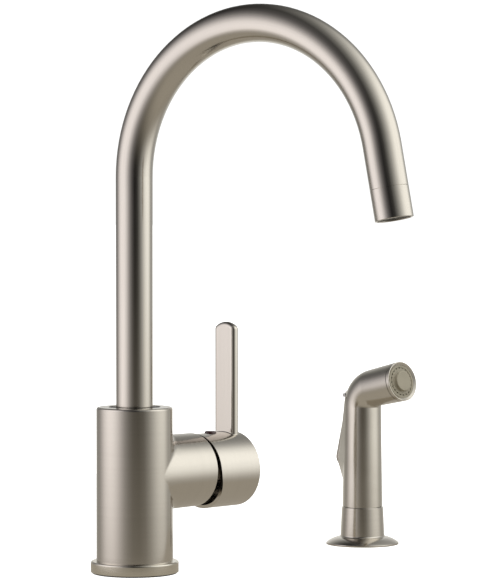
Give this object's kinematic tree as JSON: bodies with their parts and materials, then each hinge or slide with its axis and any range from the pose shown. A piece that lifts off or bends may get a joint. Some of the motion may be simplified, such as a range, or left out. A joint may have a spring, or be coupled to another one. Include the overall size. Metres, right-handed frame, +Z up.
{
  "type": "side spray kitchen faucet",
  "caption": "Single-handle kitchen faucet with a high arched swivel spout, a flat lever on a side barrel, and a separate side spray standing in its own deck holder.",
  "frame": {"origin": "on the deck's top face, on the upright axis of the faucet's body and spout", "axes": "+Z up, +X along the handle barrel towards the side spray, -Y towards the user"},
  "size_m": [0.2535, 0.2192, 0.3872],
  "materials": {
    "brushed_nickel": "brushed nickel plate, satin",
    "spray_nickel": "brushed nickel plate, satin",
    "brass": "raw cast and turned brass",
    "steel": "zinc-plated or stainless steel",
    "rubber": "matt black rubber",
    "white_plastic": "white moulded plastic",
    "grey_plastic": "grey moulded plastic",
    "black_plastic": "black moulded plastic",
    "ceramic": "lapped white ceramic",
    "index_red": "dark red gloss plastic"
  },
  "bodies": {
    "base": {"base_gasket": "rubber", "base_ring": "brushed_nickel", "body_shell": "brushed_nickel", "valve_body": "brass", "diverter": "white_plastic", "mounting_shank": "brass", "rubber_washer": "rubber", "steel_washer": "steel", "mounting_nut": "brass", "glide_ring": "black_plastic", "spout_clip": "steel", "cartridge_base": "white_plastic", "cartridge_seals": "rubber", "lower_disc": "ceramic", "cartridge_housing": "white_plastic", "bonnet_nut": "brass", "bonnet_dome": "black_plastic", "spray_holder": "brushed_nickel", "holder_gasket": "rubber", "holder_shank": "grey_plastic", "holder_washer": "rubber", "holder_nut": "grey_plastic"},
    "spout": {"spout_hub": "brass", "spout_seals": "rubber", "spout_tube": "brushed_nickel", "spout_tip": "brushed_nickel", "aerator_washer": "rubber", "aerator_screen": "white_plastic", "aerator_insert": "grey_plastic"},
    "rotor": {"stem_rotor": "white_plastic", "pivot_pin": "steel"},
    "disc": {"upper_disc": "ceramic", "disc_carrier": "white_plastic"},
    "lever": {"handle_stem": "steel", "handle": "brushed_nickel", "set_screw": "steel", "index_button": "index_red"},
    "hose_end": {"hose_coupling": "brass", "coupling_seal": "rubber", "coupling_clip": "steel"},
    "wand": {"wand_body": "spray_nickel", "trigger_pin": "steel", "nozzle_ring": "spray_nickel", "spray_face": "grey_plastic", "face_seal": "rubber"},
    "trigger": {"trigger": "spray_nickel"},
    "plunger": {"valve_plunger": "steel", "poppet_seal": "rubber", "return_spring": "steel"}
  },
  "joints": [
    {"name": "spout_swivel", "type": "hinge", "parent": "base", "child": "spout", "pos_m": [0, 0, 0.09], "axis": [0, 0, 1], "continuous": true},
    {"name": "temperature_turn", "type": "hinge", "parent": "base", "child": "rotor", "pos_m": [0.0425, 0, 0.0584], "axis": [1, 0, 0], "range_deg": [-45, 45]},
    {"name": "flow_tilt", "type": "hinge", "parent": "rotor", "child": "lever", "pos_m": [0.0425, 0, 0.0584], "axis": [0, 1, 0], "range_deg": [0, 15]},
    {"name": "disc_slide", "type": "slide", "parent": "rotor", "child": "disc", "axis": [0, 0, 1], "range_m": [0, 0.0028]},
    {"name": "wand_lift", "type": "slide", "parent": "base", "child": "hose_end", "axis": [0, 0, 1], "range_m": [0, 0.12]},
    {"name": "wand_turn", "type": "hinge", "parent": "hose_end", "child": "wand", "pos_m": [0.2032, 0, 0.016], "axis": [0, 0, 1], "continuous": true},
    {"name": "trigger_press", "type": "hinge", "parent": "wand", "child": "trigger", "pos_m": [0.2036, 0.00917, 0.09588], "axis": [-0.999, 0.0436, 0], "range_deg": [0, 4.5], "stiffness_Nm_per_rad": 0.8, "springref_deg": -6.88},
    {"name": "plunger_slide", "type": "slide", "parent": "wand", "child": "plunger", "axis": [-0.0436, -0.999, 0], "range_m": [0, 0.0028]}
  ],
  "couplings": [
    {"joint": "disc_slide", "follows": "flow_tilt", "m_per_rad": 0.0105},
    {"joint": "plunger_slide", "follows": "trigger_press", "m_per_rad": 0.035}
  ]
}
